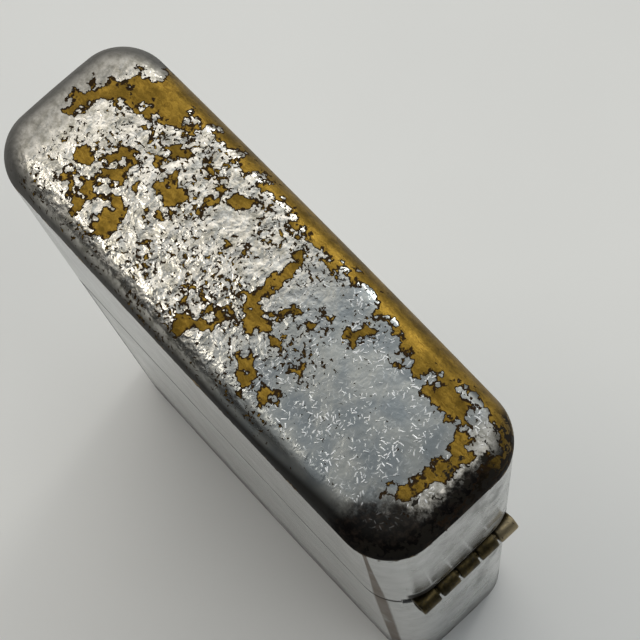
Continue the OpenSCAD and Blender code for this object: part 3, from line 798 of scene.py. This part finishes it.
hinge_finish = tarnished_brass("hinge_brass")
for node, body, which, up in (("case_hinge_leaf", "case", (0, 2, 4), -1),
                              ("lid_hinge_leaf", "lid", (1, 3), 1)):
    leaf = grid_piece(node + "_stamped", hinge_leaf_grids(which, up), hinge_finish, body)
    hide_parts(node)
pin_half = BARREL_HALF - 0.02
pin_half_y = np.array([pin_half, pin_half - 0.04, pin_half - 0.12])
pin_grid = capped(turned_y([0.24, 0.37, 0.41, 0.41, 0.37, 0.24],
                           np.concatenate([-pin_half_y, pin_half_y[::-1]]), (AXIS_X, AXIS_Z)))
pin = grid_piece("hinge_pin_turned", pin_grid, hinge_finish, "case")
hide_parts("hinge_pin")


# ---------------------------------------------------------------- insert can and windguard
# A folded steel can that slides out of the case, with the shoulder plate and the pierced
# windguard spot-welded in its mouth. Both shapes are right as they are and get their finish:
# upright drawn lines, finger marks, and blue and straw heat colours with soot at the top.
def drawn_steel(name, heated):
    """Satin steel with upright lines. Where it is heated, straw, purple and blue colours
    come one after another with height, and soot darkens the rim round the flame."""
    finish, tree, shader = new_finish(name)
    where = object_mm(tree)
    _, _, z = split_mm(tree, where)
    lines, _ = grain(tree, vector_sum(tree, "MULTIPLY", where, (9.0, 9.0, 0.35)), 1.0, 3, 0.6)
    marks, _ = grain(tree, where, 0.45, 4, 0.6)
    colour = blend_of(tree, ramp(tree, marks, 0.35, 0.68), (0.50, 0.49, 0.47), (0.36, 0.355, 0.34))
    colour = blend_of(tree, ramp(tree, lines, 0.35, 0.65, 0.0, 0.25), colour, (0.62, 0.61, 0.60))
    soot = 0.0
    if heated:
        level = plus(tree, z, times(tree, less(tree, marks, 0.5), 5.0))
        colour = blend_of(tree, times(tree, ramp(tree, level, 43.0, 46.5), 0.45), colour, (0.46, 0.33, 0.16))
        colour = blend_of(tree, times(tree, ramp(tree, level, 46.0, 48.5), 0.5), colour, (0.24, 0.15, 0.22))
        colour = blend_of(tree, times(tree, ramp(tree, level, 48.0, 50.5), 0.5), colour, (0.13, 0.18, 0.28))
        soot = times(tree, ramp(tree, level, 49.5, 52.8), 0.75)
        colour = blend_of(tree, soot, colour, (0.020, 0.018, 0.016))
    feed(tree, shader.inputs["Base Color"], colour)
    feed(tree, shader.inputs["Metallic"], less(tree, 1.0, times(tree, soot, 0.8)))
    rough = plus(tree, ramp(tree, marks, 0.3, 0.7, 0.24, 0.40), times(tree, soot, 0.35))
    feed(tree, shader.inputs["Roughness"], rough)
    bumped(tree, shader, plus(tree, times(tree, lines, 0.006), times(tree, marks, 0.03)))
    return finish


def refinish(node, finish):
    """Puts a finish on a CAD node, in the slots of its object."""
    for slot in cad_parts[node].material_slots:
        slot.material = finish


refinish("insert_can", drawn_steel("insert_can_steel", False))
refinish("windguard", drawn_steel("windguard_steel", True))


# ---------------------------------------------------------------- flint, its tube, spring and screw
# A brass tube under the wheel holds a screw at the bottom, a coil spring, a brass tip and
# the flint, which the spring presses up against the wheel. The screw closes the tube.
def turned_z(radius, height, centre, count=40):
    """Revolves a profile of (radius, height) about an upright axis."""
    angle = np.linspace(0, 2 * np.pi, count, endpoint=False)
    r = np.asarray(radius, float)[:, None]
    return np.stack([centre[0] + r * np.cos(angle), centre[1] + r * np.sin(angle),
                     np.repeat(np.asarray(height, float)[:, None], count, 1)], 2)


def machined(name, colour_a, colour_b, rough, metal=1.0, grit=0.02):
    """A turned or pressed part: fine rings, stains, and rubbed and dull places."""
    finish, tree, shader = new_finish(name)
    where = object_mm(tree)
    patch, _ = grain(tree, where, 0.8, 4, 0.65)
    rings, _ = grain(tree, vector_sum(tree, "MULTIPLY", where, (0.6, 0.6, 12.0)), 1.0, 2, 0.5)
    speck, _ = grain(tree, where, 5.0, 4, 0.65)
    colour = blend_of(tree, ramp(tree, patch, 0.33, 0.67), colour_a, colour_b)
    colour = blend_of(tree, ramp(tree, speck, 0.58, 0.74, 0.0, 0.7), colour, [0.25 * c for c in colour_a])
    feed(tree, shader.inputs["Base Color"], colour)
    shader.inputs["Metallic"].default_value = metal
    feed(tree, shader.inputs["Roughness"], ramp(tree, patch, 0.3, 0.7, rough, rough + 0.16))
    bumped(tree, shader, plus(tree, times(tree, rings, 0.4 * grit), times(tree, speck, grit)))
    return finish


def stand_in(node, grids, finish, body, measures=()):
    """Makes the detailed piece for a CAD node and hides the node it replaces."""
    piece = grid_piece(node + "_piece", grids, finish, body, measures)
    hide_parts(node)
    return piece


tube_brass = machined("tube_brass_finish", (0.42, 0.29, 0.10), (0.60, 0.44, 0.18), 0.28)
tube_low, tube_high = box_mm("flint_tube")
tube_axis = (tube_low[:2] + tube_high[:2]) / 2
tube_r = tube_high[0] - tube_axis[0]
bore_r = tube_r - 0.45
stand_in("flint_tube", turned_z(
    [tube_r - 0.08, tube_r, tube_r, tube_r - 0.1, bore_r + 0.1, bore_r, bore_r, bore_r + 0.08,
     tube_r - 0.08],
    [tube_low[2], tube_low[2] + 0.1, tube_high[2] - 0.1, tube_high[2], tube_high[2], tube_high[2] - 0.1,
     tube_low[2] + 0.1, tube_low[2], tube_low[2]], tube_axis), tube_brass, "insert")
refinish("flint_screw", tube_brass)

tip_low, tip_high = box_mm("spring_tip")
tip_r = tip_high[0] - tube_axis[0]
stand_in("spring_tip", capped(turned_z(
    [tip_r - 0.1, tip_r, tip_r, tip_r - 0.08, 0.70, 0.70, 0.62, 0.35],
    [tip_low[2], tip_low[2] + 0.1, tip_high[2] - 0.5, tip_high[2] - 0.42, tip_high[2] - 0.4,
     tip_high[2] - 0.12, tip_high[2] - 0.04, tip_high[2]], tube_axis)),
    tube_brass, "flint")

flint_low, flint_high = box_mm("flint")
flint_piece_r = flint_high[0] - tube_axis[0]
flint_rim = [flint_piece_r - 0.08, flint_piece_r, flint_piece_r]
flint_rim_z = [flint_low[2], flint_low[2] + 0.08, flint_high[2] - 0.08]
flint_grid = capped(turned_z(
    np.concatenate([flint_rim, np.linspace(flint_piece_r - 0.05, 0.08, 10)]),
    np.concatenate([flint_rim_z, np.full(10, flint_high[2])]), tube_axis))
# the wheel has ground a shallow hollow along Y in its top
worn = 0.30 * np.clip(1 - ((flint_grid[..., 0] - tube_axis[0]) / 1.1) ** 2, 0, 1)
flint_grid[..., 2] -= worn * (flint_grid[..., 2] > flint_high[2] - 0.02)
flint_finish = machined("flint_alloy_finish", (0.10, 0.10, 0.105), (0.19, 0.185, 0.18),
                        0.45, 0.8, 0.05)
stand_in("flint", flint_grid, flint_finish, "flint")


def tube_along(path, radius, count=12):
    """A tube along a path: at each point a ring at right angles to the path's direction,
    in a frame carried along so that it does not twist. Returns the rings, closed."""
    path = np.asarray(path, float)
    forward = np.gradient(path, axis=0)
    forward /= np.linalg.norm(forward, axis=1, keepdims=True)
    side = np.cross(forward, np.broadcast_to([0.13, 0.97, 0.21], forward.shape))
    side /= np.linalg.norm(side, axis=1, keepdims=True)
    over = np.cross(forward, side)
    angle = np.linspace(0, 2 * np.pi, count, endpoint=False)
    radius = np.broadcast_to(np.asarray(radius, float), (len(path),))[:, None, None]
    ring = side[:, None] * np.cos(angle)[None, :, None] + over[:, None] * np.sin(angle)[None, :, None]
    return capped(path[:, None] + radius * ring)


spring_steel = machined("spring_steel_finish", (0.34, 0.34, 0.35), (0.52, 0.52, 0.51), 0.26)
coil_low, coil_high = box_mm("flint_spring")
WIRE_R = 0.2
turns = 14
share = np.linspace(0, 1, turns * 22)
# the end turns lie flat, and the rest climb evenly
climb = np.clip((share * turns - 1) / (turns - 2), 0, 1)
coil_r = coil_high[0] - tube_axis[0] - WIRE_R
coil = np.stack([tube_axis[0] + coil_r * np.cos(2 * np.pi * turns * share),
                 tube_axis[1] + coil_r * np.sin(2 * np.pi * turns * share),
                 coil_low[2] + WIRE_R + climb * (coil_high[2] - coil_low[2] - 2 * WIRE_R)], 1)
coil_piece = stand_in("flint_spring", tube_along(coil, WIRE_R, 8), spring_steel, "insert")
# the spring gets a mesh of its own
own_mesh(coil_piece)


# ---------------------------------------------------------------- striker wheel and its rivet
# A hardened steel wheel with criss-cross file teeth that lean the way the thumb pushes. It
# turns on a rivet headed over outside the ears of the windguard.
wheel_low, wheel_high = box_mm("striker_wheel")
wheel_centre = ((wheel_low[0] + wheel_high[0]) / 2, (wheel_low[2] + wheel_high[2]) / 2)
WHEEL_R = (wheel_high[2] - wheel_low[2]) / 2
WHEEL_HALF = wheel_high[1]
TEETH = 40
TOOTH = 0.32
BORE_R = 0.98
column = np.arange(TEETH * 8) * 2 * np.pi / (TEETH * 8)
tread = np.linspace(-WHEEL_HALF + 0.15, WHEEL_HALF - 0.15, 46)


def saw(turns_round):
    """A leaning tooth: rises over seven tenths of its pitch and drops over the rest."""
    place = turns_round % 1
    return np.where(place < 0.7, place / 0.7, (1 - place) / 0.3)


slant = tread[:, None] * 0.55
pitch_place = TEETH * column[None] / (2 * np.pi)
crossed = np.minimum(saw(pitch_place + slant), saw(pitch_place - slant) * 0.6 + 0.4)
tread_r = WHEEL_R - TOOTH * (1 - crossed)
face_r = np.array([BORE_R, BORE_R + 0.1, 1.6, 1.75, 2.4, 2.55, WHEEL_R - 0.5])
face_y = np.array([0.1, 0.0, 0.0, 0.12, 0.12, 0.0, 0.0])
face_rings = np.repeat(face_r[:, None], len(column), 1)
profile_r = np.concatenate([face_rings, tread_r, face_rings[::-1],
                            np.full((1, len(column)), BORE_R)])
profile_r[len(face_r) - 1] = tread_r[0] - 0.2
profile_r[len(face_r) + len(tread)] = tread_r[-1] - 0.2
profile_y = np.concatenate([-WHEEL_HALF + face_y, tread, WHEEL_HALF - face_y[::-1],
                            [-WHEEL_HALF + 0.1]])
wheel_grid = np.stack([wheel_centre[0] + profile_r * np.cos(column),
                       np.repeat(profile_y[:, None], len(column), 1),
                       wheel_centre[1] + profile_r * np.sin(column)], 2)
file_steel = machined("file_steel_finish", (0.13, 0.13, 0.13), (0.30, 0.295, 0.285), 0.34)
stand_in("striker_wheel", wheel_grid, file_steel, "wheel")

rivet_steel = machined("rivet_steel_finish", (0.40, 0.39, 0.37), (0.56, 0.55, 0.53), 0.24)
for node in ("wheel_rivet", "cam_rivet"):
    low, high = box_mm(node)
    head_r = (high[0] - low[0]) / 2
    shank_r = head_r - 0.6
    seat = high[1] - 0.45
    dome_r = head_r * np.sin(np.linspace(0.15, np.pi / 2, 7))
    dome_y = seat + 0.20 + 0.25 * np.cos(np.linspace(0.15, np.pi / 2, 7))
    radius = np.concatenate([dome_r, [head_r, head_r - 0.05, shank_r]])
    place = np.concatenate([dome_y, [seat + 0.08, seat + 0.01, seat + 0.01]])
    rivet_grid = turned_y(np.concatenate([radius, radius[::-1]]), np.concatenate([place, -place[::-1]]),
                          ((low[0] + high[0]) / 2, (low[2] + high[2]) / 2))
    stand_in(node, capped(rivet_grid), rivet_steel, "insert")


# ---------------------------------------------------------------- cam and its spring
# The cam under the hinge snaps the lid open and shut. It turns on its own rivet, and a flat
# spring riveted to the shoulder presses up under its heel.
refinish("cam_lever", drawn_steel("cam_steel", False))
strip_low, strip_high = box_mm("cam_spring")
STRIP = 0.25
reach = np.linspace(strip_low[0], strip_high[0], 60)
fixed_from = box_mm("cam_spring_rivet")[0][0] - 0.1
bow = strip_high[2] - strip_low[2] - STRIP
arch = np.clip((reach - strip_low[0]) / (fixed_from - strip_low[0]), 0, 1)
lift = strip_low[2] + bow * 4 * arch * (1 - arch)
strip_y = strip_high[1]
section_y = np.array([-1, -0.97, 0.97, 1, 1, 0.97, -0.97, -1]) * strip_y
section_z = np.array([0.05, 0, 0, 0.05, STRIP - 0.05, STRIP, STRIP, STRIP - 0.05])
strip_grid = np.stack([np.repeat(reach[:, None], 8, 1), np.tile(section_y, (60, 1)),
                       lift[:, None] + section_z], 2)
stand_in("cam_spring", capped(strip_grid), spring_steel, "insert")
low, high = box_mm("cam_spring_rivet")
head_r = (high[0] - low[0]) / 2
dome = np.linspace(np.pi / 2, 0.15, 7)
shank_z = [low[2], low[2] + 0.06, high[2] - 0.29, high[2] - 0.29]
stand_in("cam_spring_rivet", capped(turned_z(
    np.concatenate([[0.42, 0.5, 0.5, head_r - 0.04], head_r * np.sin(dome)]),
    np.concatenate([shank_z, high[2] - 0.22 + 0.22 * np.cos(dome)]),
    ((low[0] + high[0]) / 2, 0))), rivet_steel, "insert")


# ---------------------------------------------------------------- wick, felt and cotton
# A braided cotton wick with a charred top goes down through the shoulder and is folded
# between five wads of cotton that fill the can. A felt pad closes the bottom.
wick_low, wick_high = box_mm("wick")
WICK_R = 1.3
run_step = 6.35
bend_r = run_step / 2
low_run = wick_low[2] + WICK_R
wick_x = 1.2
left_x = wick_low[0] + WICK_R + bend_r
right_x = wick_high[0] - WICK_R - bend_r


def half_turn(x, z, way, count=18):
    """Half a circle from the run at height z down to the next one, bulging along way."""
    t = np.linspace(0, np.pi, count)
    return np.stack([x + way * bend_r * np.sin(t), 0 * t, z - bend_r * (1 - np.cos(t))], 1)


runs = [low_run + k * run_step for k in range(4)]
down = np.linspace(wick_high[2] - 0.02, runs[3] + 1.3, 46)
elbow = np.linspace(0, np.pi / 2, 10)
route = np.concatenate([
    np.stack([np.full(46, wick_x), np.zeros(46), down], 1),
    np.stack([wick_x + 1.3 * (1 - np.cos(elbow)), 0 * elbow, runs[3] + 1.3 - 1.3 * np.sin(elbow)], 1)[1:],
    np.stack([np.linspace(wick_x + 1.6, right_x - 0.3, 20), np.zeros(20), np.full(20, runs[3])], 1),
    half_turn(right_x, runs[3], 1),
    np.stack([np.linspace(right_x - 0.4, left_x + 0.4, 30), np.zeros(30), np.full(30, runs[2])], 1),
    half_turn(left_x, runs[2], -1),
    np.stack([np.linspace(left_x + 0.4, right_x - 0.4, 30), np.zeros(30), np.full(30, runs[1])], 1),
    half_turn(right_x, runs[1], 1),
    np.stack([np.linspace(right_x - 0.4, left_x + 0.02, 31), np.zeros(31), np.full(31, runs[0])], 1)])
steps = np.linalg.norm(np.diff(route, axis=0), axis=1)
distance = np.concatenate([[0], np.cumsum(steps)])
even = np.linspace(0, distance[-1], 620)
route = np.stack([np.interp(even, distance, route[:, k]) for k in range(3)], 1)
WICK_SIDES = 40
girth = np.full(len(route), WICK_R - 0.06)
girth[:3] *= (0.80, 0.93, 0.98)
wick_grid = tube_along(route, girth, WICK_SIDES)
# plaited strands: ridges that cross each other round the wick
round_it = np.tile(np.linspace(0, 2 * np.pi, WICK_SIDES, endpoint=False), (len(route) + 2, 1))
along_it = np.concatenate([[0], even, [even[-1]]])[:, None]
ridge = np.maximum(np.cos(5 * round_it + 2.6 * along_it), np.cos(5 * round_it - 2.6 * along_it))
middle_line = np.concatenate([route[:1], route, route[-1:]])[:, None]
wick_grid = middle_line + (wick_grid - middle_line) * (1 - 0.055 * (1 - ridge))[..., None]


def plaited_cotton(name):
    """Cotton strands, lighter on their ridges with painted shade in the grooves between them, stained by
    fuel and charred at the top.
    """
    finish, tree, shader = new_finish(name)
    where = object_mm(tree)
    _, _, z = split_mm(tree, where)
    strand = tree.nodes.new("ShaderNodeAttribute")
    strand.attribute_name = "ridge"
    fibre, _ = grain(tree, where, 7.0, 4, 0.7)
    stain, _ = grain(tree, where, 0.4, 3, 0.6)
    # painted shade: darker in the grooves between the strands, lighter on their ridges
    colour = blend_of(tree, ramp(tree, strand.outputs["Fac"], 0.2, 0.95),
                      (0.36, 0.31, 0.23), (0.74, 0.69, 0.58))
    colour = blend_of(tree, ramp(tree, stain, 0.45, 0.7, 0.0, 0.5), colour, (0.48, 0.38, 0.22))
    charred = ramp(tree, plus(tree, z, times(tree, fibre, 2.5)), 44.6, 47.4)
    colour = blend_of(tree, charred, colour, (0.012, 0.010, 0.009))
    feed(tree, shader.inputs["Base Color"], colour)
    shader.inputs["Roughness"].default_value = 0.9
    shader.inputs["Sheen Weight"].default_value = 0.3
    bumped(tree, shader, times(tree, fibre, 0.12))
    return finish


stand_in("wick", wick_grid, plaited_cotton("wick_cotton_finish"), "insert",
         [("ridge", ridge)])


def wadding(name, light, dark):
    """Loose fibres: long noise bent by a coarser one, with soft shade between the tufts."""
    finish, tree, shader = new_finish(name)
    where = object_mm(tree)
    _, drift = grain(tree, where, 0.5, 2, 0.5)
    bent = vector_sum(tree, "ADD", where, vector_sum(tree, "SCALE", drift, 3.0))
    fibre, _ = grain(tree, vector_sum(tree, "MULTIPLY", bent, (1.0, 3.0, 5.0)), 2.0, 5, 0.75)
    tuft, _ = grain(tree, where, 0.8, 3, 0.6)
    wisps = plus(tree, times(tree, fibre, 0.6), times(tree, tuft, 0.4))
    colour = blend_of(tree, ramp(tree, wisps, 0.36, 0.62), dark, light)
    feed(tree, shader.inputs["Base Color"], colour)
    shader.inputs["Roughness"].default_value = 1.0
    shader.inputs["Sheen Weight"].default_value = 0.5
    bumped(tree, shader, plus(tree, times(tree, fibre, 0.16), times(tree, tuft, 0.2)))
    return finish


cotton = wadding("cotton_finish", (0.82, 0.80, 0.74), (0.52, 0.48, 0.40))
for k in range(1, 6):
    node = f"cotton_ball_{k}"
    low, high = box_mm(node)
    middle, half = (low + high) / 2, (high - low) / 2
    u = np.linspace(0, 2 * np.pi, 96, endpoint=False)[None]
    v = np.linspace(-np.pi / 2, np.pi / 2, 49)[:, None]
    # a rounded cushion: powers under one push the sphere out towards the box that holds it
    flat_x = np.sign(np.cos(u)) * np.abs(np.cos(u)) ** 0.42 * np.cos(v) ** 0.42
    flat_y = np.sign(np.sin(u)) * np.abs(np.sin(u)) ** 0.42 * np.cos(v) ** 0.42
    tall = np.sign(np.sin(v)) * np.abs(np.sin(v)) ** 0.6 * np.ones_like(u)
    tufts = 1 - 0.035 * (1 + np.sin(3 * u + 1.7 * k) * np.cos(4 * v) * np.cos(7 * u - 2 * k))
    wad = np.stack([middle[0] + half[0] * flat_x * tufts, middle[1] + half[1] * flat_y * tufts,
                    middle[2] + half[2] * tall * tufts], 2)
    stand_in(node, wad, cotton, "insert")

felt_low, felt_high = box_mm("felt_pad")
felt_half = (felt_high - felt_low) / 2
FELT_CORNER = 1.75
FELT_EDGE = 0.35
roll = np.linspace(0, np.pi / 2, 6)
hole_r = 1.95
pad_angle = np.linspace(0, 2 * np.pi, 160, endpoint=False)
away = np.stack([np.cos(pad_angle), np.sin(pad_angle)], 1)
# the outer border is where a ray from the screw hole meets the rounded rectangle's box
hole = np.array([tube_axis[0], 0.0])
room = np.where(away[:, 0] > 0, felt_half[0] - hole[0], felt_half[0] + hole[0])
room = room / np.maximum(np.abs(away[:, 0]), 1e-6)
reach_out = np.minimum(room, felt_half[1] / np.maximum(np.abs(away[:, 1]), 1e-6))
rim_point = hole + away * reach_out[:, None]
inner_box = felt_half[:2] - FELT_CORNER
nearest = np.clip(rim_point, -inner_box, inner_box)
outward = rim_point - nearest
outward /= np.maximum(np.linalg.norm(outward, axis=1, keepdims=True), 1e-9)
rim_point = nearest + outward * FELT_CORNER
inset = np.concatenate([FELT_EDGE * (1 - np.sin(roll)), FELT_EDGE * (1 - np.cos(roll))])
level = np.concatenate([felt_low[2] + FELT_EDGE * (1 - np.cos(roll)),
                        felt_high[2] - FELT_EDGE + FELT_EDGE * np.sin(roll)])
side_rings = np.concatenate([nearest[None] + outward[None] * (FELT_CORNER - inset)[:, None, None],
                             np.broadcast_to(level[:, None, None], (12, 160, 1))], 2)
across = np.linspace(0, 1, 14)[:, None, None]
hole_ring = np.concatenate([hole + away * hole_r, np.zeros((160, 1))], 1)
top = side_rings[-1][None] * (1 - across) + (hole_ring + [0, 0, felt_high[2]]) * across
bottom = (hole_ring + [0, 0, felt_low[2]]) * (1 - across) + side_rings[0][None] * across
pad_grid = np.concatenate([bottom, side_rings[1:], top[1:], bottom[:1]])
felt_finish = wadding("felt_finish", (0.62, 0.60, 0.56), (0.38, 0.36, 0.33))
felt_piece = stand_in("felt_pad", pad_grid, felt_finish, "insert")
